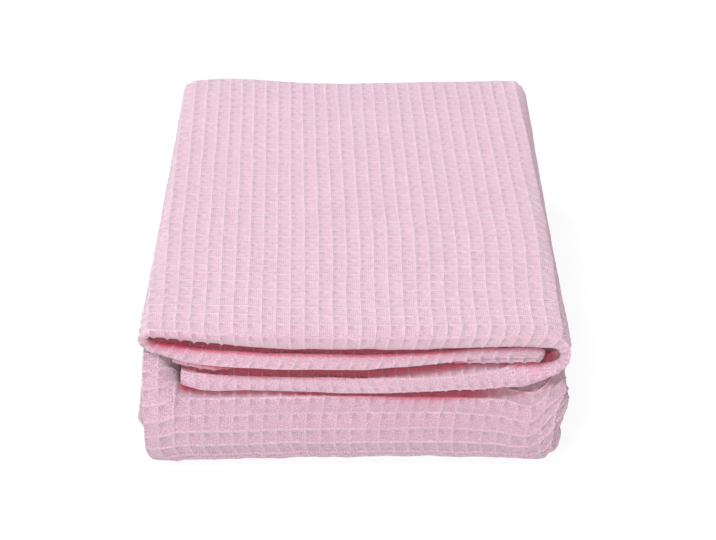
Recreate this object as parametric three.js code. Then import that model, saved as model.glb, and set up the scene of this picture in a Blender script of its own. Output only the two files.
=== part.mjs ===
// Folded waffle throw: one cotton cloth, folded into a soft stack.
// Millimetres, +Z up. The stack stands on z = 0, its front faces -Y, and the origin is under
// the middle of it.
//
// Along its length the cloth has four sheets: a flap folded in under the top sheet, the top
// sheet, a middle sheet and a bottom sheet. Across its width it has four panels: the first
// panel shows on top, the second lies under it, the tuck lies in between, and the last panel
// closes the bundle. Four panels of four sheets make sixteen layers.

import * as THREE from "three";

// Driving sizes of the cloth and of the stack
const CLOTH_THICKNESS = 2.6;
const STACK_HALF_WIDTH = 164;
const STACK_HALF_DEPTH = 228;
const STACK_HEIGHT = 114.3;
const LOWER_HEIGHT = 55.7;
const BLOCK_GAP = 4;
const LAYERS_A_BLOCK = 8;
const CLOTH_COLOUR = "#ecc6d6";
const CLOTH_ROUGHNESS = 0.95;

// Where the folds lie in depth
const ROLL_FRONT = { second: -207.5, first: -208, last: -209.5 };
const NOSE_DEPTH = 26.7;
const NOSE_LINE = -STACK_HALF_DEPTH + CLOTH_THICKNESS / 2 + NOSE_DEPTH;
const BACK_LINE = 210.5;
const BACK_SQUARENESS = 3;
const NOSE_PULL = { from: 100, amount: 8, back: -204, front: -222 };
const CORNER = { from: -118, radius: 26, amount: 18, front: -205, back: -120 };
const FLAP_HEM = 196;
const BOTTOM_HEM = 217;

// The front sets the heights of the layers up to FRONT_HOLD, and they even out by FRONT_FADE
const FRONT_HOLD = -190;
const FRONT_FADE = -60;
const SMOOTHING_OFFSETS = [-4, -2, 0, 2, 4];

// Heights of the layers' middles at the front edge, by distance across. Each panel has its
// top sheet and its flap, named from the top down.
const FRONT_LEVELS = [
  { x: -164, first: [114.4, 109.4], second: [102.8, 99.0], tuck: [95.0, 91.2], last: [87.4, 83.6] },
  { x: -156, first: [114.3, 108.8], second: [101.0, 97.2], tuck: [93.2, 89.4], last: [85.6, 81.8] },
  { x: -148, first: [114.2, 108.2], second: [99.2, 94.8], tuck: [90.8, 87.0], last: [83.2, 78.0] },
  { x: -141, first: [114.0, 107.4], second: [98.0, 92.6], tuck: [88.4, 84.6], last: [80.8, 72.0] },
  { x: -134, first: [113.9, 106.4], second: [96.8, 90.2], tuck: [86.2, 82.4], last: [78.4, 67.2] },
  { x: -126, first: [113.7, 105.2], second: [95.4, 87.2], tuck: [83.2, 79.4], last: [75.4, 62.6] },
  { x: -108, first: [113.4, 103.4], second: [93.6, 82.8], tuck: [78.8, 75.0], last: [71.2, 61.4] },
  { x: -62, first: [113.0, 99.0], second: [90.4, 80.6], tuck: [76.8, 73.0], last: [69.2, 62.4] },
  { x: 4, first: [113.0, 98.4], second: [89.6, 80.0], tuck: [76.2, 72.4], last: [68.6, 59.2] },
  { x: 46, first: [113.0, 98.6], second: [91.0, 84.0], tuck: [80.2, 76.4], last: [72.6, 57.8] },
  { x: 93, first: [113.0, 100.4], second: [93.8, 90.4], tuck: [86.6, 83.2], last: [78.6, 58.6] },
  { x: 130, first: [112.6, 101.2], second: [94.6, 91.2], tuck: [87.4, 83.8], last: [79.8, 64.0] },
  { x: 148, first: [112.2, 100.2], second: [94.8, 91.4], tuck: [88.0, 84.2], last: [80.4, 73.4] },
  { x: 164, first: [111.6, 96.4], second: [92.6, 91.4], tuck: [90.4, 89.4], last: [88.4, 80.4] },
];

// Top of the lower block at the front edge, by distance across. It rises steeply at the left.
const LOWER_TOP = [
  { x: -164, height: 95.5 },
  { x: -157, height: 94.2 },
  { x: -149.5, height: 91 },
  { x: -144.5, height: 88 },
  { x: -141.5, height: 83.5 },
  { x: -139.5, height: 74 },
  { x: -138, height: 66 },
  { x: -136.5, height: 63 },
  { x: -126, height: 59.6 },
  { x: -108, height: 58.6 },
  { x: -62, height: 59.4 },
  { x: 4, height: 56.8 },
  { x: 46, height: 55 },
  { x: 93, height: 55 },
  { x: 130, height: 57 },
  { x: 148, height: 64 },
  { x: 164, height: 70 },
];

// Where the back edge of the top sheet runs, by distance across
const BACK_EDGE = [
  { x: -164, shift: -3 },
  { x: -135, shift: 3 },
  { x: -112, shift: 2.5 },
  { x: -55, shift: -2.5 },
  { x: -15, shift: -4 },
  { x: 60, shift: 0 },
  { x: 164, shift: 1 },
];

// How far the front nose and the roll of the tuck stand forward, by distance across
const NOSE_EDGE = [
  { x: -164, shift: -1 },
  { x: -140, shift: -2.4 },
  { x: -90, shift: -1.2 },
  { x: -40, shift: 0.6 },
  { x: 60, shift: 1.2 },
  { x: 110, shift: -0.8 },
  { x: 140, shift: -2.2 },
  { x: 164, shift: 0.5 },
];
const TUCK_EDGE = [
  { x: -140, front: -206 },
  { x: -110, front: -205 },
  { x: -70, front: -194 },
  { x: 40, front: -194 },
  { x: 95, front: -206 },
];

// The stack is a little fuller towards the back left and hollow in the middle, by its height
const SWELLS = [
  { x: -120, y: 205, width: 60, depth: 60, amount: 0.012 },
  { x: 20, y: 20, width: 110, depth: 120, amount: -0.014 },
];
const RIPPLE = { width: 47, depth: 61, shift: 0.8, amount: 0.005 };

// Layer of each panel, counted from the top, for each sheet along the length
const SHEETS = {
  flap: { tuck: 5, second: 2, first: 1, last: 6 },
  top: { tuck: 4, second: 3, first: 0, last: 7 },
  middle: { tuck: 9, second: 10, first: 11, last: 8 },
  bottom: { tuck: 14, second: 13, first: 12, last: 15 },
};

// Left and right ends of the level part of each panel, in the upper and in the lower block
const PANELS = {
  tuck: { upper: [-139, 138], lower: [-158, 146] },
  second: { upper: [-155, 138], lower: [-160, 146] },
  first: { upper: [-155, 152], lower: [-160, 152.3] },
  last: { upper: [-133, 152], lower: [-161.5, 152.3] },
};

// How far each side fold stands out, for each sheet along the length
const SIDE_FOLDS = {
  tuckToSecond: { flap: 6.4, top: 2.6, middle: 3.6, bottom: 3.6 },
  secondToFirst: { flap: 3.4, top: 7.7, middle: 3.8, bottom: 6.4 },
  firstToLast: { flap: 6.8, top: 11.4, middle: 12, bottom: 6.4 },
};

// How far the back fold stands out, by panel, and how much of the front nose each one fills
const BACK_FOLD = { tuck: 7.6, second: 11.9, first: 16.2, last: 3.4 };
const NOSE_SHARE = { tuck: 5 / 7, second: 3 / 7, first: 1 / 7, last: 1 };

// Rows across and along: each is a level stretch or a fold, with its number of steps
const ACROSS = [
  { from: "tuck", to: "tuck", steps: 11 },
  { from: "tuck", to: "second", steps: 4, fold: "tuckToSecond", side: 1 },
  { from: "second", to: "second", steps: 11 },
  { from: "second", to: "first", steps: 4, fold: "secondToFirst", side: -1 },
  { from: "first", to: "first", steps: 11 },
  { from: "first", to: "last", steps: 6, fold: "firstToLast", side: 1 },
  { from: "last", to: "last", steps: 11 },
];
const ALONG = [
  { from: "flap", to: "flap", steps: 6 },
  { from: "flap", to: "top", steps: 5, fold: "roll" },
  { from: "top", to: "top", steps: 6 },
  { from: "top", to: "middle", steps: 8, fold: "back" },
  { from: "middle", to: "middle", steps: 6 },
  { from: "middle", to: "bottom", steps: 8, fold: "nose" },
  { from: "bottom", to: "bottom", steps: 6 },
];

// Shares of a level stretch where its rows lie, closer together near the left and the front
const SHARES_FROM_LEFT = [0, 0.03, 0.062, 0.076, 0.09, 0.12, 0.2, 0.38, 0.58, 0.78, 0.92, 1];
const SHARES_FROM_FRONT = [0, 0.06, 0.15, 0.3, 0.55, 0.8, 1];

const NORMAL_STEP = 0.02;
const FLOOR_SNAP = 0.03;

const mix = (a, b, share) => a + (b - a) * share;

function smoothShare(value, low, high) {
  const share = Math.min(1, Math.max(0, (value - low) / (high - low)));
  return share * share * (3 - 2 * share);
}

// Value of a table column at x, straight between the rows
function rowValue(table, x, pick) {
  const last = table.length - 1;
  if (x <= table[0].x) {
    return pick(table[0]);
  }
  for (let row = 0; row < last; row += 1) {
    if (x <= table[row + 1].x) {
      const share = (x - table[row].x) / (table[row + 1].x - table[row].x);
      return mix(pick(table[row]), pick(table[row + 1]), share);
    }
  }
  return pick(table[last]);
}

// The same value with its corners rounded off
function softValue(table, x, pick) {
  let sum = 0;
  for (const offset of SMOOTHING_OFFSETS) {
    sum += rowValue(table, x + offset, pick);
  }
  return sum / SMOOTHING_OFFSETS.length;
}

const UPPER_ORDER = ["first", "second", "tuck", "last"];

// Height of the middle of a layer at a place in the stack, with the layers counted from the top
function layerHeight(layer, x, y) {
  const half = CLOTH_THICKNESS / 2;
  const steps = LAYERS_A_BLOCK - 1;
  const front = 1 - smoothShare(y, FRONT_HOLD, FRONT_FADE);
  if (layer < LAYERS_A_BLOCK) {
    const even = mix(STACK_HEIGHT - half, LOWER_HEIGHT + half + BLOCK_GAP, layer / steps);
    const panel = UPPER_ORDER[Math.floor(layer / 2)];
    const atFront = softValue(FRONT_LEVELS, x, (row) => row[panel][layer % 2]);
    return mix(even, atFront, front);
  }
  const top = mix(LOWER_HEIGHT, softValue(LOWER_TOP, x, (row) => row.height), front);
  return mix(top - half, half, (layer - LAYERS_A_BLOCK) / steps);
}

// How much fuller the stack is at a place
function fullness(x, y) {
  let share = 1;
  for (const swell of SWELLS) {
    const across = (x - swell.x) / swell.width;
    const along = (y - swell.y) / swell.depth;
    share += swell.amount * Math.exp(-across * across - along * along);
  }
  const wave = Math.sin(x / RIPPLE.width + RIPPLE.shift) * Math.sin(y / RIPPLE.depth + RIPPLE.shift);
  return share + RIPPLE.amount * wave;
}

const isUpper = (sheet) => sheet === "flap" || sheet === "top";

function sideEnds(panel, sheet) {
  return PANELS[panel][isUpper(sheet) ? "upper" : "lower"];
}

// The pull of the front nose on the right side of the lower block, and the rounding of the
// lower front corner on the left
function inwardPull(x, y, z) {
  const right = smoothShare(x, NOSE_PULL.from, STACK_HALF_WIDTH);
  const left = 1 - smoothShare(x, -STACK_HALF_WIDTH, CORNER.from);
  const drop = Math.min(1, Math.max(0, 1 - z / CORNER.radius));
  const round = (1 - Math.sqrt(1 - drop * drop)) * (1 - smoothShare(y, CORNER.front, CORNER.back));
  const nose = 1 - smoothShare(y, NOSE_PULL.front, NOSE_PULL.back);
  return CORNER.amount * left * round - NOSE_PULL.amount * right * nose;
}

// The tuck and the first panel run to the right, the others to the left
const runsRight = (panel) => panel === "tuck" || panel === "first";

// Place across for one sheet
function placeAcross(run, share, sheet) {
  const [left, right] = sideEnds(run.from, sheet);
  if (run.fold) {
    const line = run.side > 0 ? right : left;
    return line + run.side * SIDE_FOLDS[run.fold][sheet] * Math.sin(Math.PI * share);
  }
  return runsRight(run.from) ? mix(left, right, share) : mix(right, left, share);
}

function rollFront(panel, x) {
  return panel === "tuck" ? softValue(TUCK_EDGE, x, (row) => row.front) : ROLL_FRONT[panel];
}

// Half of the way that the front roll spans, from the top sheet to the flap
function rollRadius(run, share) {
  const turn = turned(run, share);
  const spot = (sheet) => {
    const x = placeAcross(run, share, sheet);
    const height = (panel) => layerHeight(SHEETS[sheet][panel], x, rollFront(panel, x));
    return new THREE.Vector2(x, mix(height(run.from), height(run.to), turn));
  };
  return spot("top").distanceTo(spot("flap")) / 2;
}

// Place in depth for one panel, where radius is that of its front roll
function placeAlong(run, share, panel, x, radius) {
  const rollLine = rollFront(panel, x) + CLOTH_THICKNESS / 2 + radius;
  const backLine = BACK_LINE + softValue(BACK_EDGE, x, (row) => row.shift);
  const noseLine = NOSE_LINE + softValue(NOSE_EDGE, x, (row) => row.shift);
  const swing = Math.sin(Math.PI * share);
  if (run.fold === "roll") {
    return rollLine - radius * swing;
  }
  if (run.fold === "back") {
    return backLine + BACK_FOLD[panel] * swing ** (2 / BACK_SQUARENESS);
  }
  if (run.fold === "nose") {
    return noseLine - NOSE_DEPTH * NOSE_SHARE[panel] * swing;
  }
  if (run.from === "flap") {
    return mix(FLAP_HEM, rollLine, share);
  }
  if (run.from === "top") {
    return mix(rollLine, backLine, share);
  }
  if (run.from === "middle") {
    return mix(backLine, noseLine, share);
  }
  return mix(noseLine, BOTTOM_HEM, share);
}

// How much of the second of two layers a fold has reached
function turned(run, share) {
  if (!run.fold) {
    return 0;
  }
  const swing = Math.cos(Math.PI * share);
  const power = run.fold === "back" ? 2 / BACK_SQUARENESS : 1;
  return (1 - Math.sign(swing) * Math.abs(swing) ** power) / 2;
}

// The nose keeps its foot low where the lower block rises
function noseTurn(turn, x) {
  const rise = softValue(LOWER_TOP, x, (row) => row.height) / LOWER_HEIGHT;
  return 1 - (1 - turn) ** rise;
}

// A point in the middle of the cloth. across and along count the runs, and their fractions
// say how far into a run the point lies.
function clothPoint(across, along) {
  const acrossRun = ACROSS[Math.min(ACROSS.length - 1, Math.max(0, Math.floor(across)))];
  const alongRun = ALONG[Math.min(ALONG.length - 1, Math.max(0, Math.floor(along)))];
  const acrossShare = across - ACROSS.indexOf(acrossRun);
  const alongShare = along - ALONG.indexOf(alongRun);
  const acrossTurn = turned(acrossRun, acrossShare);
  const alongTurn = turned(alongRun, alongShare);
  const x = mix(
    placeAcross(acrossRun, acrossShare, alongRun.from),
    placeAcross(acrossRun, acrossShare, alongRun.to),
    alongTurn,
  );
  const radius = rollRadius(acrossRun, acrossShare);
  const y = mix(
    placeAlong(alongRun, alongShare, acrossRun.from, x, radius),
    placeAlong(alongRun, alongShare, acrossRun.to, x, radius),
    acrossTurn,
  );
  const height = (sheet, panel) => layerHeight(SHEETS[sheet][panel], x, y);
  const z = mix(
    mix(height(alongRun.from, acrossRun.from), height(alongRun.from, acrossRun.to), acrossTurn),
    mix(height(alongRun.to, acrossRun.from), height(alongRun.to, acrossRun.to), acrossTurn),
    alongRun.fold === "nose" ? noseTurn(alongTurn, x) : alongTurn,
  );
  return new THREE.Vector3(x + inwardPull(x, y, z), y, z);
}

// The direction that the face of the cloth looks in
function clothNormal(across, along) {
  const step = NORMAL_STEP;
  const left = clothPoint(Math.max(0, across - step), along);
  const right = clothPoint(Math.min(ACROSS.length, across + step), along);
  const before = clothPoint(across, Math.max(0, along - step));
  const after = clothPoint(across, Math.min(ALONG.length, along + step));
  return right.sub(left).cross(after.sub(before)).normalize();
}

// Counts of the runs at each row of points
function rowPlaces(runs, levelShares) {
  const places = [0];
  runs.forEach((run, index) => {
    for (let step = 1; step <= run.steps; step += 1) {
      places.push(index + (run.fold ? step / run.steps : levelShares(run)[step]));
    }
  });
  return places;
}

const reversed = (shares) => shares.map((share) => 1 - share).reverse();
const towardsFront = (run) => run.from === "flap" || run.from === "middle";

function clothSolid() {
  const acrossPlaces = rowPlaces(ACROSS, (run) => (
    runsRight(run.from) ? SHARES_FROM_LEFT : reversed(SHARES_FROM_LEFT)
  ));
  const alongPlaces = rowPlaces(ALONG, (run) => (
    towardsFront(run) ? reversed(SHARES_FROM_FRONT) : SHARES_FROM_FRONT
  ));
  const columns = acrossPlaces.length;
  const rows = alongPlaces.length;
  const positions = [];
  for (const face of [1, -1]) {
    for (const along of alongPlaces) {
      for (const across of acrossPlaces) {
        const normal = clothNormal(across, along);
        const point = clothPoint(across, along);
        point.addScaledVector(normal, face * CLOTH_THICKNESS / 2);
        point.z *= fullness(point.x, point.y);
        if (Math.abs(point.z) < FLOOR_SNAP) {
          point.z = 0;
        }
        positions.push(point.x, point.y, point.z);
      }
    }
  }
  const index = [];
  const corner = (face, row, column) => face * rows * columns + row * columns + column;
  const quad = (a, b, c, d) => index.push(a, b, c, a, c, d);
  for (let row = 0; row < rows - 1; row += 1) {
    for (let column = 0; column < columns - 1; column += 1) {
      quad(corner(0, row, column), corner(0, row, column + 1),
        corner(0, row + 1, column + 1), corner(0, row + 1, column));
      quad(corner(1, row, column), corner(1, row + 1, column),
        corner(1, row + 1, column + 1), corner(1, row, column + 1));
    }
  }
  for (let column = 0; column < columns - 1; column += 1) {
    quad(corner(1, 0, column), corner(1, 0, column + 1),
      corner(0, 0, column + 1), corner(0, 0, column));
    quad(corner(0, rows - 1, column), corner(0, rows - 1, column + 1),
      corner(1, rows - 1, column + 1), corner(1, rows - 1, column));
  }
  for (let row = 0; row < rows - 1; row += 1) {
    quad(corner(0, row, 0), corner(0, row + 1, 0), corner(1, row + 1, 0), corner(1, row, 0));
    quad(corner(1, row, columns - 1), corner(1, row + 1, columns - 1),
      corner(0, row + 1, columns - 1), corner(0, row, columns - 1));
  }
  const geometry = new THREE.BufferGeometry();
  geometry.setAttribute("position", new THREE.Float32BufferAttribute(positions, 3));
  geometry.setIndex(index);
  geometry.computeBoundingBox();
  const middle = geometry.boundingBox.getCenter(new THREE.Vector3());
  geometry.translate(-middle.x, -middle.y, 0);
  geometry.computeVertexNormals();
  return geometry;
}

const cloth = new THREE.MeshStandardMaterial({
  color: CLOTH_COLOUR,
  roughness: CLOTH_ROUGHNESS,
  metalness: 0,
});

const group = new THREE.Group();
const throwMesh = new THREE.Mesh(clothSolid(), cloth);
throwMesh.name = "folded_throw";
group.add(throwMesh);

export default group;
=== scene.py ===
"""Folded waffle throw: one pink cotton cloth with raised squares, folded into a soft stack."""

import math

import bmesh
import bpy
import numpy as np
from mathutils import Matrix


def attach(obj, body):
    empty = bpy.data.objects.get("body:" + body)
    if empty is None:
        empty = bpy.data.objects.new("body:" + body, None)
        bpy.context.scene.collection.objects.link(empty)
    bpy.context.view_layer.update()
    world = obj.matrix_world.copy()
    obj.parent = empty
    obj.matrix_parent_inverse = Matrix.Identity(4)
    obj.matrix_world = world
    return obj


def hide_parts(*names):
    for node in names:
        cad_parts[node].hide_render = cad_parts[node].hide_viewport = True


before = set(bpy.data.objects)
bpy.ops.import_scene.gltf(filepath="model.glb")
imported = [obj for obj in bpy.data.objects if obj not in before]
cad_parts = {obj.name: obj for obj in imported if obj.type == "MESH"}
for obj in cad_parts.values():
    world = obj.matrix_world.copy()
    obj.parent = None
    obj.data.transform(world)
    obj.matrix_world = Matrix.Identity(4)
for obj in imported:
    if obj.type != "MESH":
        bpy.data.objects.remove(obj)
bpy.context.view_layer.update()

bl_info = {
    "name": "Folded waffle throw",
    "version": (1, 0, 0),
    "blender": (4, 5, 0),
    "location": "3D View > Sidebar > Throw",
    "description": "A cotton throw in a waffle weave, folded both ways into a stack",
    "category": "Add Mesh",
}

# Sizes of the solid that the cloth follows, in millimetres
CLOTH_THICKNESS = 2.6
STACK_HALF_WIDTH = 164
STACK_HALF_DEPTH = 228
STACK_HEIGHT = 114.3
LOWER_HEIGHT = 55.7
BLOCK_GAP = 4
LAYERS_A_BLOCK = 8
STACK_SHIFT = (0.55, -0.30)

ROLL_FRONT = {"second": -207.5, "first": -208, "last": -209.5}
NOSE_DEPTH = 26.7
NOSE_LINE = -STACK_HALF_DEPTH + CLOTH_THICKNESS / 2 + NOSE_DEPTH
BACK_LINE = 210.5
BACK_SQUARENESS = 3
NOSE_PULL = {"start": 100, "amount": 8, "back": -204, "front": -222}
CORNER = {"start": -118, "radius": 26, "amount": 18, "front": -205, "back": -120}
FLAP_HEM = 196
BOTTOM_HEM = 217
FRONT_HOLD = -190
FRONT_FADE = -60
SMOOTHING_OFFSETS = (-4, -2, 0, 2, 4)

# Heights of the layers at the front: x, then top sheet and flap of the first panel, the
# second, the tuck and the last
FRONT_LEVELS = np.array((
    (-164, 114.4, 109.4, 102.8, 99.0, 95.0, 91.2, 87.4, 83.6),
    (-156, 114.3, 108.8, 101.0, 97.2, 93.2, 89.4, 85.6, 81.8),
    (-148, 114.2, 108.2, 99.2, 94.8, 90.8, 87.0, 83.2, 78.0),
    (-141, 114.0, 107.4, 98.0, 92.6, 88.4, 84.6, 80.8, 72.0),
    (-134, 113.9, 106.4, 96.8, 90.2, 86.2, 82.4, 78.4, 67.2),
    (-126, 113.7, 105.2, 95.4, 87.2, 83.2, 79.4, 75.4, 62.6),
    (-108, 113.4, 103.4, 93.6, 82.8, 78.8, 75.0, 71.2, 61.4),
    (-62, 113.0, 99.0, 90.4, 80.6, 76.8, 73.0, 69.2, 62.4),
    (4, 113.0, 98.4, 89.6, 80.0, 76.2, 72.4, 68.6, 59.2),
    (46, 113.0, 98.6, 91.0, 84.0, 80.2, 76.4, 72.6, 57.8),
    (93, 113.0, 100.4, 93.8, 90.4, 86.6, 83.2, 78.6, 58.6),
    (130, 112.6, 101.2, 94.6, 91.2, 87.4, 83.8, 79.8, 64.0),
    (148, 112.2, 100.2, 94.8, 91.4, 88.0, 84.2, 80.4, 73.4),
    (164, 111.6, 96.4, 92.6, 91.4, 90.4, 89.4, 88.4, 80.4),
))

# Top of the lower block at the front: x and height
LOWER_TOP = np.array((
    (-164, 95.5), (-157, 94.2), (-149.5, 91), (-144.5, 88), (-141.5, 83.5), (-139.5, 74),
    (-138, 66), (-136.5, 63), (-126, 59.6), (-108, 58.6), (-62, 59.4), (4, 56.8), (46, 55),
    (93, 55), (130, 57), (148, 64), (164, 70),
))

# x and shift of the back fold, of the front nose and of the front of the tuck
BACK_EDGE = np.array((
    (-164, -3), (-135, 3), (-112, 2.5), (-55, -2.5), (-15, -4), (60, 0), (164, 1),
))
NOSE_EDGE = np.array((
    (-164, -1), (-140, -2.4), (-90, -1.2), (-40, 0.6), (60, 1.2), (110, -0.8), (140, -2.2),
    (164, 0.5),
))
TUCK_EDGE = np.array(((-140, -206), (-110, -205), (-70, -194), (40, -194), (95, -206)))

# Where the stack swells or sinks: x, y, width, depth and share of its height
SWELLS = ((-120, 205, 60, 60, 0.012), (20, 20, 110, 120, -0.014))
RIPPLE_WIDTH, RIPPLE_DEPTH, RIPPLE_SHIFT, RIPPLE_SHARE = 47, 61, 0.8, 0.005

# Soft troughs: start, end, radius and depth
CREASES = (
    ((-112, 150, 114), (-58, -120, 114), 20, 0.9),
    ((52, 190, 114), (104, -40, 114), 22, 0.8),
    ((-20, -60, 114), (10, -180, 114), 18, 0.6),
    ((-66, -226, 46), (-34, -230, 10), 9, 0.8),
    ((72, -226, 46), (98, -230, 14), 10, 0.8),
    ((14, -208, 95), (26, -212, 84), 8, 0.5),
    ((-92, -208, 70), (-84, -212, 60), 8, 0.5),
    ((150, 60, 100), (158, 0, 62), 14, 0.8),
)

# Layer of each panel, counted from the top, for each sheet along the length
SHEETS = {
    "flap": {"tuck": 5, "second": 2, "first": 1, "last": 6},
    "top": {"tuck": 4, "second": 3, "first": 0, "last": 7},
    "middle": {"tuck": 9, "second": 10, "first": 11, "last": 8},
    "bottom": {"tuck": 14, "second": 13, "first": 12, "last": 15},
}
PANELS = {
    "tuck": {"upper": (-139, 138), "lower": (-158, 146)},
    "second": {"upper": (-155, 138), "lower": (-160, 146)},
    "first": {"upper": (-155, 152), "lower": (-160, 152.3)},
    "last": {"upper": (-133, 152), "lower": (-161.5, 152.3)},
}
SIDE_FOLDS = {
    "tuckToSecond": {"flap": 6.4, "top": 2.6, "middle": 3.6, "bottom": 3.6},
    "secondToFirst": {"flap": 3.4, "top": 7.7, "middle": 3.8, "bottom": 6.4},
    "firstToLast": {"flap": 6.8, "top": 11.4, "middle": 12, "bottom": 6.4},
}
BACK_FOLD = {"tuck": 7.6, "second": 11.9, "first": 16.2, "last": 3.4}
NOSE_SHARE = {"tuck": 5 / 7, "second": 3 / 7, "first": 1 / 7, "last": 1}

# Runs of the cloth: from, to, and for a fold its name, and the side that it turns on
ACROSS = (
    ("tuck", "tuck", None, 0),
    ("tuck", "second", "tuckToSecond", 1),
    ("second", "second", None, 0),
    ("second", "first", "secondToFirst", -1),
    ("first", "first", None, 0),
    ("first", "last", "firstToLast", 1),
    ("last", "last", None, 0),
)
ALONG = (
    ("flap", "flap", None),
    ("flap", "top", "roll"),
    ("top", "top", None),
    ("top", "middle", "back"),
    ("middle", "middle", None),
    ("middle", "bottom", "nose"),
    ("bottom", "bottom", None),
)
RUNS = 7

# Places of the hidden rows, as shares of a level run from the left or the front
SHARES_FROM_LEFT = (0, 0.03, 0.062, 0.076, 0.09, 0.12, 0.2, 0.38, 0.58, 0.78, 0.92, 1)
SHARES_FROM_FRONT = (0, 0.06, 0.15, 0.3, 0.55, 0.8, 1)

# Middles of the side folds, of the back fold and of the runs that the weave is measured on
SIDE_TURNS = (1.5, 3.5, 5.5)
BACK_TURN = 3.5
FIRST_PANEL, LAST_PANEL = 4.5, 6.5
TOP_SHEET, MIDDLE_SHEET, NOSE = 2.5, 4.5, 5.5

# Places that the squares of the weave are counted from, which of them is the foot of the
# nose, and how many squares are even above it
ANCHORS_ACROSS = (0, *SIDE_TURNS, RUNS)
ANCHORS_ALONG = (0, 1.5, BACK_TURN, 6, RUNS)
NOSE_ANCHOR = 3
NOSE_SQUARES = 5

# Steps in each half of a run, where the way along the cloth is measured
HALF_RUN_STEPS = 24

# Places of the points within a square of the weave, with its ridge at 0
POINT_SHARES = (0, 0.11, 0.25, 0.75, 0.89)

# How the squares on the top lean and bow, and how uneven their lines are, in squares
LEAN = 1.45
BOW = 0.35
WOBBLE = 0.03

# How many squares the lean takes to fade at the roll, behind the back fold and past the side
# folds, the bow at the roll and before the back fold, and the waves at the hems
LEAN_FADES = {"roll": 4, "back": 10, "side": (3, 9)}
BOW_FADES = {"roll": 8, "back": (4, 9)}
HEM_EVEN = 4

# Rates of the waves in the lines, and how far the waves sway
WAVE_ACROSS = (0.9, 0.37, 0.23, 0.11)
WAVE_ALONG = (0.8, 0.41, 0.19, 0.13)
WAVE_SWAY = 2

# How much deeper the squares are at the top of the nose, how much is added down to its
# foot, how much deeper they are on the front rolls, and where those front parts fade out.
# These gains also darken the squares there with painted shade, most at the foot of the nose.
NOSE_TOP_GAIN = 0.5
NOSE_LOW_GAIN = 0.9
ROLL_DEPTH_GAIN = 0.3
FRONT_PARTS = (-207, -190)

# Height under which cloth is put on the floor, heights over which the squares of the weave
# start to show, and how far from a hem they start to, in squares
FLOOR_SNAP = 0.03
FLOOR_FADE = (0.8, 3)
HEM_FADE = (0.8, 1.3)

# Where painted shade is put in the gaps between the front folds, and which runs lie outside of
# them. The rolls' gaps begin further back on the right, the nose's gap is paler there, and both
# fade out towards the back and the sides.
OUTSIDE_ACROSS, OUTSIDE_ALONG = (2.9, 6.1), (1.5, 4.1)
ROLL_GAP = {"end": 3, "front": -206.8, "width": 5.5, "shift": 2.2, "right": (60, 110)}
NOSE_GAP = {
    "runs": (4, 5.6), "front": -211, "back": -206, "left": (-139, -132), "right": (85, 125),
    "paler": 0.6,
}
GAP_BACK = (-190, -170)
GAP_SIDE = (152, 162)
GAP_POWER = 1.5


def mix(a, b, share):
    return a + (b - a) * share


def smooth_share(value, low, high):
    share = np.clip((value - low) / (high - low), 0, 1)
    return share * share * (3 - 2 * share)


def within(value, low, high):
    return (value > low) & (value < high)


def soft_value(table, x, column=1):
    """Value of a table's column at x, with its corners rounded off."""
    rows = [np.interp(x + offset, table[:, 0], table[:, column]) for offset in SMOOTHING_OFFSETS]
    return sum(rows) / len(rows)


def layer_height(layer, x, y):
    """Height of the middle of a layer, counted from the top, at a place in the stack."""
    half = CLOTH_THICKNESS / 2
    steps = LAYERS_A_BLOCK - 1
    front = 1 - smooth_share(y, FRONT_HOLD, FRONT_FADE)
    if layer < LAYERS_A_BLOCK:
        even = mix(STACK_HEIGHT - half, LOWER_HEIGHT + half + BLOCK_GAP, layer / steps)
        return mix(even, soft_value(FRONT_LEVELS, x, layer + 1), front)
    top = mix(LOWER_HEIGHT, soft_value(LOWER_TOP, x), front)
    return mix(top - half, half, (layer - LAYERS_A_BLOCK) / steps)


def fullness(x, y):
    """How much fuller the stack is at a place."""
    share = np.ones_like(x)
    for swell_x, swell_y, width, depth, amount in SWELLS:
        share += amount * np.exp(-(((x - swell_x) / width) ** 2) - ((y - swell_y) / depth) ** 2)
    wave = np.sin(x / RIPPLE_WIDTH + RIPPLE_SHIFT) * np.sin(y / RIPPLE_DEPTH + RIPPLE_SHIFT)
    return share + RIPPLE_SHARE * wave


def crease_depth(points):
    """How deep the soft troughs are at some points."""
    total = np.zeros(len(points))
    for start, end, radius, depth in CREASES:
        way = np.subtract(end, start)
        share = np.clip((points - start) @ way / (way @ way), 0, 1)
        away = np.linalg.norm(points - start - share[:, None] * way, axis=1)
        total += depth * np.exp(-((away / radius) ** 2))
    return total


def block_of(sheet):
    return "upper" if sheet in ("flap", "top") else "lower"


def place_across(run, share, sheet):
    """x of a share of a run across the cloth."""
    start, _, fold, side = run
    left, right = PANELS[start][block_of(sheet)]
    if fold:
        edge = right if side > 0 else left
        return edge + side * SIDE_FOLDS[fold][sheet] * np.sin(np.pi * share)
    if start in ("tuck", "first"):
        return mix(left, right, share)
    return mix(right, left, share)


def roll_front(panel, x):
    """y of the front of a panel's roll."""
    return soft_value(TUCK_EDGE, x) if panel == "tuck" else ROLL_FRONT[panel] + 0 * x


def turned(fold, share):
    """How much of the second of two layers a fold has reached."""
    if not fold:
        return 0 * share
    swing = np.cos(np.pi * share)
    power = 2 / BACK_SQUARENESS if fold == "back" else 1
    return (1 - np.sign(swing) * np.abs(swing) ** power) / 2


def roll_radius(run, share):
    """Half of the way that the front roll spans, from the top sheet to the flap."""
    turn = turned(run[2], share)
    spots = []
    for sheet in ("top", "flap"):
        x = place_across(run, share, sheet)
        heights = [layer_height(SHEETS[sheet][panel], x, roll_front(panel, x))
                   for panel in run[:2]]
        spots.append((x, mix(*heights, turn)))
    (x0, z0), (x1, z1) = spots
    return np.hypot(x1 - x0, z1 - z0) / 2


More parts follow.
